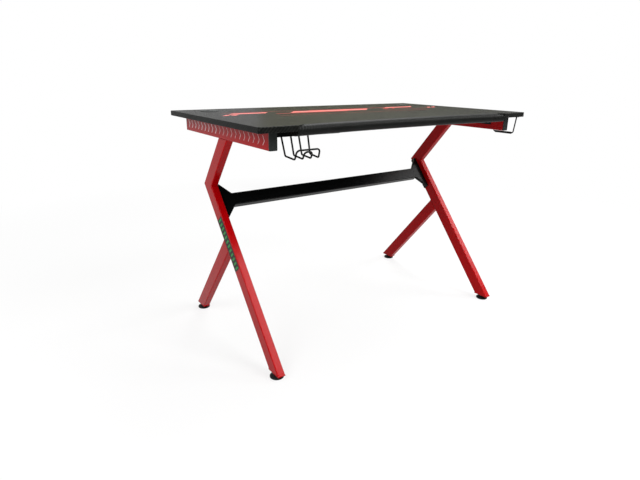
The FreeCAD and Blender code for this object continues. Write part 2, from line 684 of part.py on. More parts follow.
def rack_wire(top_w, tip_w, tip_rise):
    """One wire form of the rack: down, forward as a tray, up at the tips and across."""
    top_y = RACK_Y + RACK_SHEET + RACK_WIRE_D / 2
    heel_z = UNDER_Z - RACK_DROP
    heel_y = top_y - RACK_LEAN
    toe_y = heel_y - RACK_TRAY_LEN
    toe_z = heel_z - RACK_TRAY_FALL
    side_view = [
        Vector(0, top_y, UNDER_Z - RACK_UPRIGHT_TOP),
        Vector(0, top_y, UNDER_Z - RACK_UPRIGHT_END),
        Vector(0, heel_y, heel_z),
        Vector(0, toe_y, toe_z),
        Vector(0, toe_y - RACK_TIP_LEAN, toe_z + tip_rise),
    ]
    runs = [0.0]
    for before, after in zip(side_view, side_view[1:]):
        runs.append(runs[-1] + before.distanceToPoint(after))
    left = []
    right = []
    for point, run in zip(side_view, runs):
        aside = RIGHT * ((top_w + (tip_w - top_w) * run / runs[-1]) / 2)
        left.append(point + RIGHT * RACK_CENTRE_X - aside)
        right.append(point + RIGHT * RACK_CENTRE_X + aside)
    arm_bends = [RACK_BEND_R] * (len(side_view) - 2)
    return bent_wire(left + right[::-1], arm_bends + [RACK_TIP_R] * 2 + arm_bends, RACK_WIRE_D)


def hook_wire():
    """Headphone hook: a wire loop that hangs beside the right rail."""
    top_z = UNDER_Z - HOOK_PLATE_T
    bar_z = UNDER_Z - HOOK_DROP
    return bent_wire(
        [
            Vector(HOOK_X, HOOK_FRONT_Y - HOOK_SPLAY, top_z),
            Vector(HOOK_X, HOOK_FRONT_Y, bar_z),
            Vector(HOOK_X, HOOK_REAR_Y, bar_z),
            Vector(HOOK_X, HOOK_REAR_Y + HOOK_SPLAY, top_z),
        ],
        [HOOK_BEND_R] * 2,
        HOOK_WIRE_D,
    )


def hook_sleeve():
    """Soft sleeve on the straight bottom of the hook."""
    length = HOOK_LEN - 2 * HOOK_BEND_R
    start = Vector(HOOK_X, HOOK_FRONT_Y + HOOK_BEND_R, UNDER_Z - HOOK_DROP)
    rear = Vector(0, 1, 0)
    bore_r = HOOK_WIRE_D / 2 + HOOK_SLEEVE_CLEARANCE
    return Part.makeCylinder(HOOK_SLEEVE_D / 2, length, start, rear).cut(
        Part.makeCylinder(bore_r, length, start, rear)
    )


def hook_plate():
    """Plate that carries the hook, screwed to the underside of the top."""
    length = HOOK_LEN + 2 * (HOOK_SPLAY + HOOK_PLATE_OVERHANG)
    middle = Vector(HOOK_X, (HOOK_FRONT_Y + HOOK_REAR_Y) / 2, UNDER_Z - HOOK_PLATE_T)
    plate = rounded_bar(HOOK_PLATE_W, length, HOOK_PLATE_OVERHANG, HOOK_PLATE_T)
    plate.translate(middle)
    for spot in HOOK_SCREW_SPOTS:
        plate = plate.cut(hole(SCREW_D, spot, UP, HOOK_PLATE_T))
    return plate


def fasteners(blank, spots, direction):
    """One fastener at each spot, pointing along a direction."""
    across = RIGHT if abs(direction.x) < 0.5 else UP
    return [placed(blank, facing(spot, across, direction)) for spot in spots]


def export(node, solids):
    """Write one sub-part, a single solid or a group of solids."""
    shape = solids[0] if len(solids) == 1 else Part.makeCompound(solids)
    shape.exportStep("parts/" + node + ".step")


def export_pair(node, solid):
    """Write the right piece and its mirror image on the left."""
    export("right_" + node, [solid])
    export("left_" + node, [mirrored(solid)])


os.makedirs("parts", exist_ok=True)

export("desktop_board", [board()])
for side, grommet_x in (("left", -GROMMET_X), ("right", GROMMET_X)):
    export(side + "_grommet_liner", [grommet_liner(grommet_x)])
    export(side + "_grommet_lid", [grommet_lid(grommet_x)])

export_pair("top_rail", top_rail())
cap = rail_cap()
rail_middle_z = UNDER_Z - RAIL_H / 2
front_spot = facing(Vector(LEG_X, RAIL_FRONT_Y - CAP_FLANGE_T, rail_middle_z), RIGHT, Vector(0, 1, 0))
rear_spot = facing(Vector(LEG_X, RAIL_REAR_Y + CAP_FLANGE_T, rail_middle_z), RIGHT, Vector(0, -1, 0))
export_pair("rail_front_cap", placed(cap, front_spot))
export_pair("rail_rear_cap", placed(cap, rear_spot))

export_pair("main_leg", main_leg())
export_pair("upper_arm", upper_arm())
export_pair("rear_leg", rear_leg())
for end, foot_y in (("front", FRONT_FOOT_Y), ("rear", REAR_FOOT_Y)):
    export_pair(end + "_foot_plate", foot_plate(foot_y))
    export_pair(end + "_levelling_foot", levelling_foot(foot_y))

export("crossbar", [crossbar()])
export_pair("crossbar_bracket", crossbar_bracket())
bracket_bolts = fasteners(hex_bolt(BOLT_D, BOLT_AF, BOLT_HEAD_H, BOLT_LEN), BRACKET_BOLT_SPOTS, RIGHT)
bar_screws = fasteners(pan_screw(BAR_SCREW_LEN), BAR_SCREW_SPOTS, FORWARD)
export("bracket_bolts", bracket_bolts + [mirrored(bolt) for bolt in bracket_bolts])
export("crossbar_screws", bar_screws + [mirrored(screw) for screw in bar_screws])

export_pair("fixing_angle", fixing_angle())
rail_bolt = hex_bolt(RAIL_BOLT_D, RAIL_BOLT_AF, RAIL_BOLT_HEAD_H, RAIL_BOLT_LEN)
rail_bolts = fasteners(rail_bolt, RAIL_BOLT_SPOTS, RIGHT)
export("rail_bolts", rail_bolts + [mirrored(bolt) for bolt in rail_bolts])
board_screws = fasteners(pan_screw(ANGLE_T + SCREW_IN_BOARD), BOARD_SCREW_SPOTS, UP)
export("board_screws", board_screws + [mirrored(screw) for screw in board_screws])

export("rack_bracket", [rack_bracket()])
outer_wire = rack_wire(RACK_OUTER_TOP_W, RACK_OUTER_TIP_W, RACK_OUTER_TIP_RISE)
inner_wire = rack_wire(RACK_INNER_W, RACK_INNER_W, RACK_INNER_TIP_RISE)
export("rack_outer_wire", [outer_wire])
export("rack_inner_wire", [inner_wire])
export("rack_screws", fasteners(pan_screw(RACK_SHEET + SCREW_IN_BOARD), RACK_SCREW_SPOTS, UP))

export("hook_wire", [hook_wire()])
export("hook_sleeve", [hook_sleeve()])
export("hook_plate", [hook_plate()])
export("hook_screws", fasteners(pan_screw(HOOK_PLATE_T + SCREW_IN_BOARD), HOOK_SCREW_SPOTS, UP))
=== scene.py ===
"""Looks of a gaming desk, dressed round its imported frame.

The frame's nodes keep their shapes and places. This script gives each of them its finish, adds the
weld beads and the stuck-on foil marks, and sets up a small studio with the photograph's camera.
Lengths are metres, or millimetres where a name ends in _mm. X runs to the right, Y to the rear, Z up.
"""

import json
import logging
import math
from dataclasses import dataclass
from enum import Enum

import bmesh
import bpy
from mathutils import Euler, Matrix, Vector


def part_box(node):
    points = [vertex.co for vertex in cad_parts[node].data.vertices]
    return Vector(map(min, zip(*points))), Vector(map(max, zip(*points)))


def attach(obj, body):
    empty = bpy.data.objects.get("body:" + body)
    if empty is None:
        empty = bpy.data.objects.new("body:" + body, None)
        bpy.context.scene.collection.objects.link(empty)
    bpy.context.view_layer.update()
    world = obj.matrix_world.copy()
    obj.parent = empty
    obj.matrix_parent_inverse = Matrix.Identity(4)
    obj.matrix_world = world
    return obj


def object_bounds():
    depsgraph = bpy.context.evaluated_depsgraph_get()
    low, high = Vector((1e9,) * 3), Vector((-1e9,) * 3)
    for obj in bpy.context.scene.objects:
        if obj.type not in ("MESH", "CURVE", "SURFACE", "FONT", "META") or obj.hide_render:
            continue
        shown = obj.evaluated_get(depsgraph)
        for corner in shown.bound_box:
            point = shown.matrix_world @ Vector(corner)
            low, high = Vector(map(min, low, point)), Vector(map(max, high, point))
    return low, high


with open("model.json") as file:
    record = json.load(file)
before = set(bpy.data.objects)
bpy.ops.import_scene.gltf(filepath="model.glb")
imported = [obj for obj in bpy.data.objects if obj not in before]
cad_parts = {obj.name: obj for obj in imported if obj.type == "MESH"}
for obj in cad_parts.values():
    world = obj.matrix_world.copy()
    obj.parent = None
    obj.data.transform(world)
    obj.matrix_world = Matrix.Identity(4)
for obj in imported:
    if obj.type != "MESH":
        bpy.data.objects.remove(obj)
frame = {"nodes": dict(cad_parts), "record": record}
CAD_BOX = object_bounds()

LOG = logging.getLogger("gaming_desk")
MM = 0.001
FRAME_BODY = "frame"
WHITE = (1.0, 1.0, 1.0, 1.0)

Socket = bpy.types.NodeSocket
Tree = bpy.types.NodeTree
Inputs = dict[int | str, float | tuple[float, ...] | Socket]

# The Mix node's colour sockets share their names with its other ones, so they go by number.
SHARE, FIRST, SECOND = 0, 6, 7
COLOUR_MIX = {"out": 2, "data_type": "RGBA"}


def linear(code: str) -> tuple[float, float, float, float]:
    """Turns an sRGB hex colour into the linear colour that shaders take.

    Args:
        code: Six hex digits after a hash sign.

    Returns:
        Red, green, blue and an alpha of one.
    """
    shares = [int(code[start : start + 2], 16) / 255 for start in (1, 3, 5)]
    parts = [s / 12.92 if s <= 0.04045 else ((s + 0.055) / 1.055) ** 2.4 for s in shares]
    return (parts[0], parts[1], parts[2], 1.0)


def fill(tree: Tree, node: bpy.types.Node, inputs: Inputs) -> None:
    """Sets a node's inputs, and links those that get a socket.

    Args:
        tree: The tree that holds the node.
        node: The node.
        inputs: Value or source socket for each input, by name or number.
    """
    for key, value in inputs.items():
        if isinstance(value, Socket):
            tree.links.new(value, node.inputs[key])
        else:
            node.inputs[key].default_value = value


def add_node(
    tree: Tree, kind: str, inputs: Inputs | None = None, out: int | str = 0, **settings: object
) -> Socket:
    """Adds a shader node with its settings and links.

    Args:
        tree: The tree that it goes into.
        kind: The node's type without its ShaderNode prefix.
        inputs: Value or source socket for each input, by name or number.
        out: Name or number of the output that is wanted.
        settings: Properties of the node.

    Returns:
        The wanted output.
    """
    node = tree.nodes.new("ShaderNode" + kind)
    for name, value in settings.items():
        setattr(node, name, value)
    fill(tree, node, inputs or {})
    return node.outputs[out]


def place_in_mm(tree: Tree) -> Socket:
    """Gives the place on the piece, in millimetres of the desk's own frame."""
    place = add_node(tree, "TexCoord", out="Object")
    return add_node(tree, "VectorMath", {0: place, "Scale": 1 / MM}, operation="SCALE")


@dataclass(frozen=True)
class Finish:
    """One finish: its name, base colour, roughness and specular level. Each kind paints its own nodes."""

    name: str
    colour: str
    roughness: float
    specular: float = 0.5

    def material(self) -> bpy.types.Material:
        """Builds the finish as a Blender material, once.

        Returns:
            The material.
        """
        found = bpy.data.materials.get(self.name)
        if found:
            return found
        made = bpy.data.materials.new(self.name)
        made.use_nodes = True
        tree = made.node_tree
        shader = tree.nodes["Principled BSDF"]
        fill(tree, shader, {"Specular IOR Level": self.specular, **self.paint(tree)})
        return made

    def paint(self, tree: Tree) -> Inputs:
        """Makes the nodes of the finish; each kind has its own.

        Args:
            tree: The material's node tree.

        Returns:
            What goes into the shader's inputs.
        """
        raise NotImplementedError


@dataclass(frozen=True)
class PowderCoat(Finish):
    """Polyester powder coat, sprayed and baked on steel tube.

    It gives the eye a strong even colour under a slightly wavy gloss, as the powder melts into a
    skin with a fine orange peel.
    """

    shade: str = "#000000"
    ior: float = 1.5
    peel_mm: float = 1.8
    peel_depth_mm: float = 0.004
    cloud_mm: float = 60.0
    cloud_gloss: float = 0.05  # how far the clouds take the roughness up and down

    def paint(self, tree: Tree) -> Inputs:
        """Paints a clouded colour under an orange-peel gloss.

        Args:
            tree: The material's node tree.

        Returns:
            What goes into the shader's inputs.
        """
        place = place_in_mm(tree)
        cloud = add_node(tree, "TexNoise", {"Vector": place, "Scale": 1 / self.cloud_mm})
        peel = add_node(tree, "TexNoise", {"Vector": place, "Scale": 1 / self.peel_mm})
        colours = {SHARE: cloud, FIRST: linear(self.shade), SECOND: linear(self.colour)}
        gloss = {
            "Value": cloud,
            "To Min": self.roughness + self.cloud_gloss,
            "To Max": self.roughness - self.cloud_gloss,
        }
        relief = {"Strength": 1.0, "Distance": self.peel_depth_mm * MM, "Height": peel}
        return {
            "Base Color": add_node(tree, "Mix", colours, **COLOUR_MIX),
            "Roughness": add_node(tree, "MapRange", gloss),
            "IOR": self.ior,
            "Normal": add_node(tree, "Bump", relief),
        }


@dataclass(frozen=True)
class PrintedBar:
    """One slanted bar of the print on the top, in millimetres from the middle of the top."""

    x_mm: float
    y_mm: float
    half_length_mm: float
    half_width_mm: float


class PrintInk(Enum):
    """The two inks of the print."""

    BRIGHT = "#EC7A76"
    DEEP = "#9C2A2C"


PRINT_SLANT = 0.9  # how far a bar's ends lean, as X for each Y
BRIGHT_BARS = (
    PrintedBar(-46, 70, 168, 25),
    PrintedBar(-372, 82, 66, 15),
    PrintedBar(318, 104, 74, 14),
    PrintedBar(-470, 40, 9, 13),
    PrintedBar(-442, 40, 9, 13),
    PrintedBar(436, 48, 9, 13),
    PrintedBar(464, 48, 9, 13),
)
DEEP_BARS = (
    PrintedBar(70, 112, 190, 5),
    PrintedBar(-150, 28, 150, 7),
    PrintedBar(-300, 122, 150, 2.5),
    PrintedBar(300, 22, 130, 2.5),
    PrintedBar(0, -44, 330, 2),
    PrintedBar(210, 62, 14, 14),
    PrintedBar(250, 62, 7, 14),
)


@dataclass(frozen=True)
class CarbonWeaveFilm(Finish):
    """Printed PVC film with a carbon-fibre weave, pressed over fibreboard.

    It gives the eye a near-black two-by-two twill whose tows on top are painted lighter in clouds, a
    painted sheen where they catch the light, a satin glare at a low angle, and a flat red print. The
    underside has a plain balancing paper.
    """

    tow_mm: float = 2.6  # a real film's tow is nearer 2 mm; wider here, so that the twill shows
    tow_depth_mm: float = 0.10
    tow_relief: float = 0.5
    # painted sheen: the lengthwise tows on top get this lighter colour in clouds of tow_cloud_mm, in
    # place of the light they catch; the twill itself is the film's print
    tow_painted_sheen: str = "#2A2B29"
    tow_cloud_mm: float = 14.0
    tow_gloss: float = 0.16  # how far the two ways of the tows take the roughness up and down
    twill_repeat: float = 4.0  # tows from one repeat of the twill to the next
    twill_over: float = 1.5  # the first two tows of a repeat, counted from nought, lie on top
    print_reach_mm: float = 2.2  # the print ends this far below the desk's highest point
    backing: str = "#0B0B0C"
    backing_facing: float = -0.95  # a face whose normal has a Z below this is the underside

    def paint(self, tree: Tree) -> Inputs:
        """Paints the twill with a painted sheen on its tows on top, the print over it and the paper
        below.

        Args:
            tree: The material's node tree.

        Returns:
            What goes into the shader's inputs.
        """
        place = place_in_mm(tree)
        axes = add_node(tree, "SeparateXYZ", {0: place}).node.outputs
        over, height = self.twill(tree, axes)
        cloud = add_node(tree, "TexNoise", {"Vector": place, "Scale": 1 / self.tow_cloud_mm})
        dark = linear(self.colour)
        # painted sheen: the tows on top are lightened in clouds, as where they catch the light
        sheen_mix = {SHARE: cloud, FIRST: dark, SECOND: linear(self.tow_painted_sheen)}
        sheened_tow = add_node(tree, "Mix", sheen_mix, **COLOUR_MIX)
        film = add_node(tree, "Mix", {SHARE: over, FIRST: dark, SECOND: sheened_tow}, **COLOUR_MIX)
        lowest = CAD_BOX[1].z / MM - self.print_reach_mm
        on_top = add_node(tree, "Math", {0: axes["Z"], 1: lowest}, operation="GREATER_THAN")
        for ink, bars in ((PrintInk.DEEP, DEEP_BARS), (PrintInk.BRIGHT, BRIGHT_BARS)):
            mask = self.bars(tree, axes, bars)
            inked = add_node(tree, "Math", {0: mask, 1: on_top}, operation="MULTIPLY")
            colours = {SHARE: inked, FIRST: film, SECOND: linear(ink.value)}
            film = add_node(tree, "Mix", colours, **COLOUR_MIX)
        normal = add_node(tree, "NewGeometry", out="True Normal")
        facing = add_node(tree, "SeparateXYZ", {0: normal}, "Z")
        below = add_node(tree, "Math", {0: facing, 1: self.backing_facing}, operation="LESS_THAN")
        faces = {SHARE: below, FIRST: film, SECOND: linear(self.backing)}
        gloss = {
            "Value": over,
            "To Min": self.roughness + self.tow_gloss,
            "To Max": self.roughness - self.tow_gloss,
        }
        relief = {"Strength": self.tow_relief, "Distance": self.tow_depth_mm * MM, "Height": height}
        return {
            "Base Color": add_node(tree, "Mix", faces, **COLOUR_MIX),
            "Roughness": add_node(tree, "MapRange", gloss),
            "Normal": add_node(tree, "Bump", relief),
        }

    def twill(self, tree: Tree, axes: bpy.types.NodeOutputs) -> tuple[Socket, Socket]:
        """Makes the two-by-two twill, carried down over the edges by the height.

        Args:
            tree: The material's node tree.
            axes: X, Y and Z in millimetres.

        Returns:
            Where a lengthwise tow lies on top, as 0 or 1, and the height of the tows.
        """
        cells = []
        crowns = []
        half_tow = 0.5
        over_edge = add_node(tree, "Math", {0: axes["Y"], 1: axes["Z"]}, operation="SUBTRACT")
        for along in (axes["X"], over_edge):
            count = add_node(tree, "Math", {0: along, 1: self.tow_mm}, operation="DIVIDE")
            cells.append(add_node(tree, "Math", {0: count}, operation="FLOOR"))
            crowns.append(add_node(tree, "Math", {0: count, 1: half_tow}, operation="PINGPONG"))
        step = add_node(tree, "Math", {0: cells[0], 1: cells[1]}, operation="ADD")
        turn = add_node(tree, "Math", {0: step, 1: self.twill_repeat}, operation="FLOORED_MODULO")
        over = add_node(tree, "Math", {0: turn, 1: self.twill_over}, operation="LESS_THAN")
        height = add_node(
            tree, "MapRange", {"Value": over, "To Min": crowns[1], "To Max": crowns[0]}
        )
        return over, height

    def bars(
        self, tree: Tree, axes: bpy.types.NodeOutputs, bars: tuple[PrintedBar, ...]
    ) -> Socket:
        """Makes the mask of a set of slanted bars.

        Args:
            tree: The material's node tree.
            axes: X, Y and Z in millimetres.
            bars: The bars.

        Returns:
            One on a bar, and nought elsewhere.
        """
        slanted = {0: axes["Y"], 1: -PRINT_SLANT, 2: axes["X"]}
        sheared = add_node(tree, "Math", slanted, operation="MULTIPLY_ADD")
        mask: float | Socket = 0.0
        for bar in bars:
            width = {0: axes["Y"], 1: bar.y_mm, 2: bar.half_width_mm}
            across = add_node(tree, "Math", width, operation="COMPARE")
            middle = bar.x_mm - PRINT_SLANT * bar.y_mm
            length = {0: sheared, 1: middle, 2: bar.half_length_mm}
            along = add_node(tree, "Math", length, operation="COMPARE")
            both = {0: across, 1: along, 2: mask}
            mask = add_node(tree, "Math", both, operation="MULTIPLY_ADD")
        return mask


@dataclass(frozen=True)
class MouldedPlastic(Finish):
    """ABS, polypropylene or soft PVC, moulded in a spark-eroded tool.

    It gives the eye a dull black with a fine even grain that breaks up the highlights.
    """

    grain_mm: float = 0.5
    grain_depth_mm: float = 0.02
    scuffed: str = "#2E3030"
    scuff_mm: float = 9.0
    scuff_detail: float = 6.0
    scuff_share: tuple[float, float] = (-0.2, 0.45)  # how much of it shows, least and most
    scuff_gloss: float = 0.08  # how far the scuffs take the roughness up and down

    def paint(self, tree: Tree) -> Inputs:
        """Paints a tool grain with faint scuffs.

        Args:
            tree: The material's node tree.

        Returns:
            What goes into the shader's inputs.
        """
        place = place_in_mm(tree)
        scuffs = {"Vector": place, "Scale": 1 / self.scuff_mm, "Detail": self.scuff_detail}
        scuff = add_node(tree, "TexNoise", scuffs)
        dots = add_node(tree, "TexNoise", {"Vector": place, "Scale": 1 / self.grain_mm})
        least, most = self.scuff_share
        faint = add_node(tree, "MapRange", {"Value": scuff, "To Min": least, "To Max": most})
        colours = {SHARE: faint, FIRST: linear(self.colour), SECOND: linear(self.scuffed)}
        gloss = {
            "Value": scuff,
            "To Min": self.roughness - self.scuff_gloss,
            "To Max": self.roughness + self.scuff_gloss,
        }
        relief = {"Strength": 1.0, "Distance": self.grain_depth_mm * MM, "Height": dots}
        return {
            "Base Color": add_node(tree, "Mix", colours, **COLOUR_MIX),
            "Roughness": add_node(tree, "MapRange", gloss),
            "Normal": add_node(tree, "Bump", relief),
        }


@dataclass(frozen=True)
class ZincPlate(Finish):
    """Bright zinc plate on cold-headed steel screws and bolts.

    It gives the eye a bluish-grey metal with soft, cloudy highlights.
    """

    cloud: str = "#8F959B"
    cloud_mm: float = 3.0
    cloud_detail: float = 4.0
    cloud_gloss: tuple[float, float] = (-0.08, 0.12)  # added to the roughness, least and most

    def paint(self, tree: Tree) -> Inputs:
        """Paints a cloudy plated metal.

        Args:
            tree: The material's node tree.

        Returns:
            What goes into the shader's inputs.
        """
        place = place_in_mm(tree)
        clouds = {"Vector": place, "Scale": 1 / self.cloud_mm, "Detail": self.cloud_detail}
        cloud = add_node(tree, "TexNoise", clouds)
        colours = {SHARE: cloud, FIRST: linear(self.cloud), SECOND: linear(self.colour)}
        least, most = (self.roughness + more for more in self.cloud_gloss)
        return {
            "Base Color": add_node(tree, "Mix", colours, **COLOUR_MIX),
            "Metallic": 1.0,
            "Roughness": add_node(
                tree, "MapRange", {"Value": cloud, "To Min": least, "To Max": most}
            ),
        }


@dataclass(frozen=True)
class VinylFoil(Finish):
    """Cut vinyl foil, stuck on the coated steel.

    It gives the eye a flat colour with a slight haze, and a softer gloss than the coat below.
    """

    haze: str = "#FFFFFF"
    haze_mm: float = 25.0
    haze_share: float = 0.12
    haze_gloss: tuple[float, float] = (-0.04, 0.06)  # added to the roughness, least and most

    def paint(self, tree: Tree) -> Inputs:
        """Paints a hazy foil.

        Args:
            tree: The material's node tree.

        Returns:
            What goes into the shader's inputs.
        """
        place = place_in_mm(tree)
        haze = add_node(tree, "TexNoise", {"Vector": place, "Scale": 1 / self.haze_mm})
        faint = add_node(
            tree, "MapRange", {"Value": haze, "To Min": 0.0, "To Max": self.haze_share}
        )
        colours = {SHARE: faint, FIRST: linear(self.colour), SECOND: linear(self.haze)}
        least, most = (self.roughness + more for more in self.haze_gloss)
        return {
            "Base Color": add_node(tree, "Mix", colours, **COLOUR_MIX),
            "Roughness": add_node(
                tree, "MapRange", {"Value": haze, "To Min": least, "To Max": most}
            ),
        }


RED_COAT = PowderCoat(
    "red_powder_coat", "#B20208", roughness=0.22, specular=0.09, shade="#A50206"
)
BLACK_COAT = PowderCoat(
    "black_powder_coat", "#070808", roughness=0.34, specular=0.12, shade="#050606", peel_mm=1.2
)
TOP_FILM = CarbonWeaveFilm("carbon_weave_film", "#020302", roughness=0.50, specular=0.07)
BLACK_ABS = MouldedPlastic("moulded_abs", "#161B19", roughness=0.50, specular=0.25)
FOOT_PLASTIC = MouldedPlastic(
    "moulded_polypropylene", "#050506", roughness=0.60, specular=0.2, scuffed="#141516"
)
SLEEVE_PVC = MouldedPlastic(
    "soft_pvc_sleeve", "#070708", roughness=0.72, specular=0.2, grain_mm=0.8, scuffed="#141516"
)
ZINC = ZincPlate("zinc_plated_steel", "#C3C8CE", roughness=0.34)
BLACK_FOIL = VinylFoil(
    "black_vinyl_foil", "#060907", roughness=0.45, specular=0.15, haze="#161C18"
)
GREEN_FOIL = VinylFoil(
    "green_vinyl_foil", "#238A3A", roughness=0.45, specular=0.2, haze="#4FA862"
)
PALE_FOIL = VinylFoil("pale_vinyl_foil", "#D9A9AB", roughness=0.45, haze="#F2DADA")

SLOT_FINISHES = {
    "top_board": TOP_FILM,
    "red_steel": RED_COAT,
    "black_steel": BLACK_COAT,
    "black_plastic": BLACK_ABS,
    "foot_plastic": FOOT_PLASTIC,
    "black_rubber": SLEEVE_PVC,
    "zinc_steel": ZINC,
}


def dress_frame() -> None:
    """Gives each node of the frame the finish of its material slot."""
    for part in frame["record"]["subparts"]:
        node = frame["nodes"][part["node"]]
        finish = SLOT_FINISHES[part["material_slot"]]
        node.data.materials.clear()
        node.data.materials.append(finish.material())
        LOG.info("%s: %s", node.name, finish.name)


def add_object(name: str, mesh: bmesh.types.BMesh, material: bpy.types.Material) -> bpy.types.Object:
    """Turns a finished bmesh into an object at the origin.

    Args:
        name: The object's name.
        mesh: Its shape, in the desk's frame; it is freed.
        material: Its material.

    Returns:
        The new object.
    """
    data = bpy.data.meshes.new(name)
    mesh.to_mesh(data)
    mesh.free()
    data.materials.append(material)
    made = bpy.data.objects.new(name, data)
    bpy.context.scene.collection.objects.link(made)
    return made


def add_piece(name: str, mesh: bmesh.types.BMesh, finish: Finish) -> None:
    """Turns a finished bmesh into a piece of the desk that rides on the fixed frame.

    Args:
        name: The piece's name.
        mesh: Its shape, in the desk's frame.
        finish: Its finish.
    """
    bmesh.ops.recalc_face_normals(mesh, faces=mesh.faces)
    piece = add_object(name, mesh, finish.material())
    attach(piece, FRAME_BODY)
    LOG.info("%s: %s", name, finish.name)


class Side(Enum):
    """The two tube frames, as the sign of X."""

    LEFT = -1
    RIGHT = 1


@dataclass(frozen=True)
class TubeFrame:
    """One K-shaped tube frame: the weld beads in its corners."""

    side: Side
    lean: float = math.radians(40.0)
    tube_depth: float = 45 * MM
    tube_corner: float = 3 * MM
    bead_radius: float = 2.6 * MM
    bead_ripples: int = 14
    bead_sides: int = 12
    bead_waist: float = 0.86  # a ripple's valley against its crest

    def node(self, name: str) -> str:
        """Gives the name of one of this frame's nodes."""
        return f"{self.side.name.lower()}_{name}"

    def half_cut(self) -> float:
        """Gives half the depth of a leaning tube where it is cut level."""
        return self.tube_depth / 2 / math.cos(self.lean)

    def build(self) -> None:
        """Builds the fillet welds at the top of the arm and at the top of the rear leg."""
        rail_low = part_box(self.node("top_rail"))[0]
        arm_low, arm_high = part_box(self.node("upper_arm"))
        leg_low, leg_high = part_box(self.node("rear_leg"))
        middle_x = (arm_low.x + arm_high.x) / 2
        arm_rear_y = arm_low.y + 2 * self.half_cut()
        leg_upper_y = leg_low.y + self.half_cut()
        leg_lower_z = leg_high.z - self.tube_depth / 2 / math.sin(self.lean)
        self.bead("arm_front_weld", Vector((middle_x, arm_low.y, rail_low.z)))
        self.bead("arm_rear_weld", Vector((middle_x, arm_rear_y, rail_low.z)))
        self.bead("rear_leg_upper_weld", Vector((middle_x, leg_upper_y, leg_high.z)))
        self.bead("rear_leg_lower_weld", Vector((middle_x, leg_low.y, leg_lower_z)))

    def bead(self, name: str, middle: Vector) -> None:
        """Builds one rippled weld bead along X.

        Args:
            name: The weld's name within this frame.
            middle: Middle of the bead, in the corner that it fills.
        """
        arm_low, arm_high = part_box(self.node("upper_arm"))
        length = arm_high.x - arm_low.x - 2 * self.tube_corner
        mesh = bmesh.new()
        along_x = Matrix.Rotation(math.pi / 2, 4, "Y")
        ring = bmesh.ops.create_circle(
            mesh,
            segments=self.bead_sides,
            radius=self.bead_radius * self.bead_waist,
            cap_ends=True,
            matrix=Matrix.Translation(middle - Vector((length / 2, 0, 0))) @ along_x,
        )
        edges = list({edge for vert in ring["verts"] for edge in vert.link_edges})
        step = Vector((length / self.bead_ripples, 0, 0))
        for number in range(self.bead_ripples):
            grown = bmesh.ops.extrude_edge_only(mesh, edges=edges)["geom"]
            verts = [item for item in grown if isinstance(item, bmesh.types.BMVert)]
            edges = [item for item in grown if isinstance(item, bmesh.types.BMEdge)]
            bmesh.ops.translate(mesh, verts=verts, vec=step)
            swell = 1 / self.bead_waist if number % 2 == 0 else self.bead_waist
            centre = sum((vert.co for vert in verts), Vector()) / len(verts)
            bmesh.ops.scale(
                mesh, verts=verts, vec=(1, swell, swell), space=Matrix.Translation(-centre)
            )
        bmesh.ops.contextual_create(mesh, geom=edges)
        add_piece(self.node(name), mesh, RED_COAT)


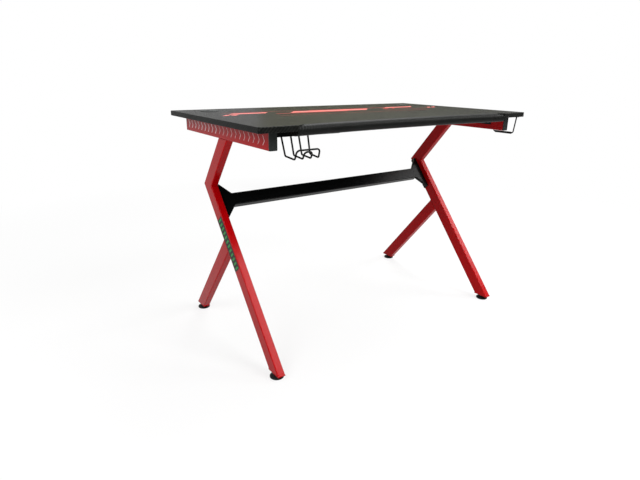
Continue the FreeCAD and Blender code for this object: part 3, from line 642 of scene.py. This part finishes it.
@dataclass(frozen=True)
class FoilMarks:
    """Foil on the left tube frame: chevrons along the rail, and a dark strip with marks on the leg."""

    tubes: TubeFrame = TubeFrame(Side.LEFT)
    thickness: float = 0.15 * MM
    edge_round: float = 0.25  # share of the thickness
    rail_marks: int = 20
    rail_bold_marks: int = 9
    rail_mark_height: float = 25 * MM
    rail_mark_slant: float = 9 * MM
    rail_bold_width: float = 6.5 * MM
    rail_fine_width: float = 3.0 * MM
    rail_end_gap: float = 26 * MM
    strip_start: float = 128 * MM  # down the leg from the knee
    strip_length: float = 187 * MM
    strip_width: float = 37 * MM
    strip_marks: int = 12
    strip_mark_width: float = 7 * MM
    strip_mark_height: float = 21 * MM

    def build(self) -> None:
        """Builds the marks on the rail and the strip on the leg."""
        self.mark_rail()
        self.mark_leg()

    def outward(self) -> Vector:
        """Gives the direction away from the desk's middle."""
        return Vector((self.tubes.side.value, 0, 0))

    def turned(self, along: Vector, across: Vector) -> Matrix:
        """Turns a patch's X along one direction, its Y along another, and its Z outward."""
        return Matrix((along, across, self.outward())).transposed().to_4x4()

    def patch(self, mesh: bmesh.types.BMesh, width: float, height: float, place: Matrix) -> None:
        """Adds one flat rectangle of foil with its cut edges rounded.

        Args:
            mesh: The mesh that it goes into.
            width: Size along the patch's X.
            height: Size along the patch's Y.
            place: Where it goes; its Z points away from the steel.
        """
        size = Matrix.Diagonal((width, height, self.thickness, 1.0))
        grown = bmesh.ops.create_cube(mesh, size=1.0, matrix=place @ size)
        edges = list({edge for vert in grown["verts"] for edge in vert.link_edges})
        bmesh.ops.bevel(
            mesh,
            geom=edges,
            offset=self.thickness * self.edge_round,
            affect="EDGES",
            segments=1,
            profile=0.5,
            material=-1,
        )

    def mark_rail(self) -> None:
        """Builds the row of chevrons on the rail's outer face, bold ones at its rear."""
        low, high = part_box(self.tubes.node("top_rail"))
        mesh = bmesh.new()
        first = high.y - self.rail_end_gap
        pitch = (high.y - low.y - 2 * self.rail_end_gap) / (self.rail_marks - 1)
        arm = self.rail_mark_height / 2
        turned = self.turned(Vector((0, -1, 0)), Vector((0, 0, 1)))
        for number in range(self.rail_marks):
            bold = number < self.rail_bold_marks
            width = self.rail_bold_width if bold else self.rail_fine_width
            for half in (-1, 1):
                shear = Matrix.Identity(4)
                shear[0][1] = -half * self.rail_mark_slant / arm
                middle_z = (low.z + high.z + half * arm) / 2
                middle = Vector((low.x, first - pitch * number, middle_z))
                self.patch(mesh, width, arm, Matrix.Translation(middle) @ turned @ shear)
        add_piece("rail_foil_marks", mesh, PALE_FOIL)

    def mark_leg(self) -> None:
        """Builds the dark strip on the front leg and the green marks on it."""
        leg_low, leg_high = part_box(self.tubes.node("main_leg"))
        arm_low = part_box(self.tubes.node("upper_arm"))[0]
        knee = Vector((leg_low.x, leg_high.y - self.tubes.half_cut(), arm_low.z))
        lean = self.tubes.lean
        down = Vector((0, -math.sin(lean), -math.cos(lean)))
        across = Vector((0, math.cos(lean), -math.sin(lean)))
        turned = self.turned(down, across)
        strip = bmesh.new()
        middle = knee + down * (self.strip_start + self.strip_length / 2)
        self.patch(strip, self.strip_length, self.strip_width, Matrix.Translation(middle) @ turned)
        add_piece("leg_foil_strip", strip, BLACK_FOIL)
        marks = bmesh.new()
        pitch = self.strip_length / self.strip_marks
        for number in range(self.strip_marks):
            along = self.strip_start + pitch * (number + 0.5)
            spot = knee + down * along + self.outward() * self.thickness
            place = Matrix.Translation(spot) @ turned
            self.patch(marks, self.strip_mark_width, self.strip_mark_height, place)
        add_piece("leg_foil_marks", marks, GREEN_FOIL)


@dataclass(frozen=True)
class Lamp:
    """One soft box of the studio."""

    name: str
    place: tuple[float, float, float]
    size: float
    watts: float
    aim: tuple[float, float, float] = (0.0, 0.0, 0.5)

    def build(self) -> None:
        """Adds the lamp, turned to what it lights."""
        data = bpy.data.lights.new(self.name, "AREA")
        data.shape = "SQUARE"
        data.size = self.size
        data.energy = self.watts
        lamp = bpy.data.objects.new(self.name, data)
        lamp.location = self.place
        toward = Vector(self.aim) - Vector(self.place)
        lamp.rotation_euler = toward.to_track_quat("-Z", "Y").to_euler()
        bpy.context.scene.collection.objects.link(lamp)


@dataclass(frozen=True)
class Card:
    """One upright card of the studio, which the desk mirrors and the camera doesn't see."""

    name: str
    place: tuple[float, float]
    width: float
    height: float
    colour: str

    def build(self) -> None:
        """Stands the card on the floor, so that glossy faces turned to it stay dark."""
        mesh = bmesh.new()
        upright = Matrix.Rotation(math.pi / 2, 4, "X")
        size = Matrix.Diagonal((self.width, self.height, 1.0, 1.0))
        place = Matrix.Translation((*self.place, self.height / 2))
        bmesh.ops.create_grid(
            mesh, x_segments=1, y_segments=1, size=0.5, matrix=place @ upright @ size
        )
        cloth = bpy.data.materials.new(self.name + "_cloth")
        cloth.use_nodes = True
        tree = cloth.node_tree
        shader = tree.nodes["Principled BSDF"]
        fill(tree, shader, {"Base Color": linear(self.colour), "Roughness": 1.0})
        card = add_object(self.name, mesh, cloth)
        card.visible_camera = False


LAMPS = (
    Lamp("key_box", place=(-2.6, -0.9, 2.4), size=1.8, watts=52.0),
    Lamp("low_box", place=(-1.7, -2.1, 0.3), size=0.8, watts=14.0),
    Lamp("front_box", place=(1.0, -2.3, 2.7), size=1.6, watts=80.0),
    Lamp("right_box", place=(3.2, -1.5, 2.3), size=1.2, watts=42.0),
    Lamp("top_box", place=(1.4, 0.65, 3.0), size=1.8, watts=72.0),
)
CARDS = (
    Card("front_card", place=(1.4, -2.0), width=3.4, height=1.15, colour="#101010"),
    Card("rear_card", place=(2.3, 1.9), width=3.3, height=1.9, colour="#9C9C7C"),
)


@dataclass(frozen=True)
class Studio:
    """White floor and surroundings, soft boxes, the cards that the desk mirrors, and the camera."""

    floor_size: float = 60.0
    floor_drop: float = 0.5 * MM
    floor_colour: str = "#F6F6F6"
    floor_bounce: str = "#B8B8B8"  # the paler the floor, the more light it throws up
    floor_roughness: float = 0.9
    floor_glow: float = 0.78  # how much of the floor under the desk shows as plain white
    shadow_mm: tuple[float, float] = (700.0, 2600.0)  # how far from the middle the shadow fades out
    ambient: float = 0.20
    camera_place: tuple[float, float, float] = (-1.12062, -1.37680, 0.87466)
    camera_turn_deg: tuple[float, float, float] = (71.0155, -0.6703, -35.2405)
    camera_focal_px: float = 483.09
    image_width_px: float = 640.0
    sensor_mm: float = 36.0

    def build(self) -> None:
        """Sets up the whole studio."""
        bpy.context.scene.view_settings.view_transform = "Standard"
        self.build_world()
        self.build_floor()
        self.build_camera()
        for thing in CARDS + LAMPS:
            thing.build()

    def seen(self, tree: Tree) -> Socket:
        """Tells rays that show the background from those that only carry its light.

        Args:
            tree: The node tree of the floor or of the world.

        Returns:
            One for a ray that shows it, and nought for the others.
        """
        path = add_node(tree, "LightPath").node.outputs
        rays = {0: path["Is Camera Ray"], 1: path["Is Glossy Ray"]}
        shown = add_node(tree, "Math", rays, operation="MAXIMUM")
        rays = {0: shown, 1: path["Is Transmission Ray"]}
        return add_node(tree, "Math", rays, operation="MAXIMUM")

    def build_world(self) -> None:
        """Makes the surroundings white to look at, and a plain level of grey as light."""
        world = bpy.data.worlds.new("studio_world")
        bpy.context.scene.world = world
        world.use_nodes = True
        tree = world.node_tree
        levels = {"Value": self.seen(tree), "To Min": self.ambient, "To Max": 1.0}
        level = add_node(tree, "MapRange", levels)
        fill(tree, tree.nodes["Background"], {"Color": WHITE, "Strength": level})

    def build_floor(self) -> None:
        """Lays the floor just below the desk's feet."""
        mesh = bmesh.new()
        bmesh.ops.create_grid(
            mesh,
            x_segments=1,
            y_segments=1,
            size=self.floor_size / 2,
            matrix=Matrix.Translation((0, 0, -self.floor_drop)),
        )
        add_object("studio_floor", mesh, self.paper())

    def paper(self) -> bpy.types.Material:
        """Makes the floor's paper: white to look at, and it keeps the desk's shadow.

        Returns:
            The material.
        """
        made = bpy.data.materials.new("studio_paper")
        made.use_nodes = True
        tree = made.node_tree
        shader = tree.nodes["Principled BSDF"]
        seen = self.seen(tree)
        colours = {
            SHARE: seen,
            FIRST: linear(self.floor_bounce),
            SECOND: linear(self.floor_colour),
        }
        matt = {
            "Base Color": add_node(tree, "Mix", colours, **COLOUR_MIX),
            "Roughness": self.floor_roughness,
            "Specular IOR Level": 0.0,
        }
        fill(tree, shader, matt)
        glow = add_node(tree, "Emission", {"Color": WHITE, "Strength": 1.0})
        reach = add_node(tree, "VectorMath", {0: place_in_mm(tree)}, "Value", operation="LENGTH")
        fade = {
            "Value": reach,
            "From Min": self.shadow_mm[0],
            "From Max": self.shadow_mm[1],
            "To Min": self.floor_glow,
            "To Max": 1.0,
        }
        plain = add_node(tree, "MapRange", fade)
        share = add_node(tree, "Math", {0: seen, 1: plain}, operation="MULTIPLY")
        mixed = add_node(tree, "MixShader", {0: share, 1: shader.outputs["BSDF"], 2: glow})
        fill(tree, tree.nodes["Material Output"], {"Surface": mixed})
        return made

    def build_camera(self) -> None:
        """Sets the camera where the photograph was taken from."""
        data = bpy.data.cameras.new("photo_camera")
        data.sensor_width = self.sensor_mm
        data.lens = self.sensor_mm * self.camera_focal_px / self.image_width_px
        camera = bpy.data.objects.new("photo_camera", data)
        camera.location = self.camera_place
        camera.rotation_euler = Euler([math.radians(turn) for turn in self.camera_turn_deg])
        bpy.context.scene.collection.objects.link(camera)
        bpy.context.scene.camera = camera


def main() -> None:
    """Dresses the frame and builds each sub-assembly in order."""
    logging.basicConfig(level=logging.INFO)
    dress_frame()
    for side in Side:
        TubeFrame(side).build()
    FoilMarks().build()
    Studio().build()


if __name__ == "__main__":
    main()
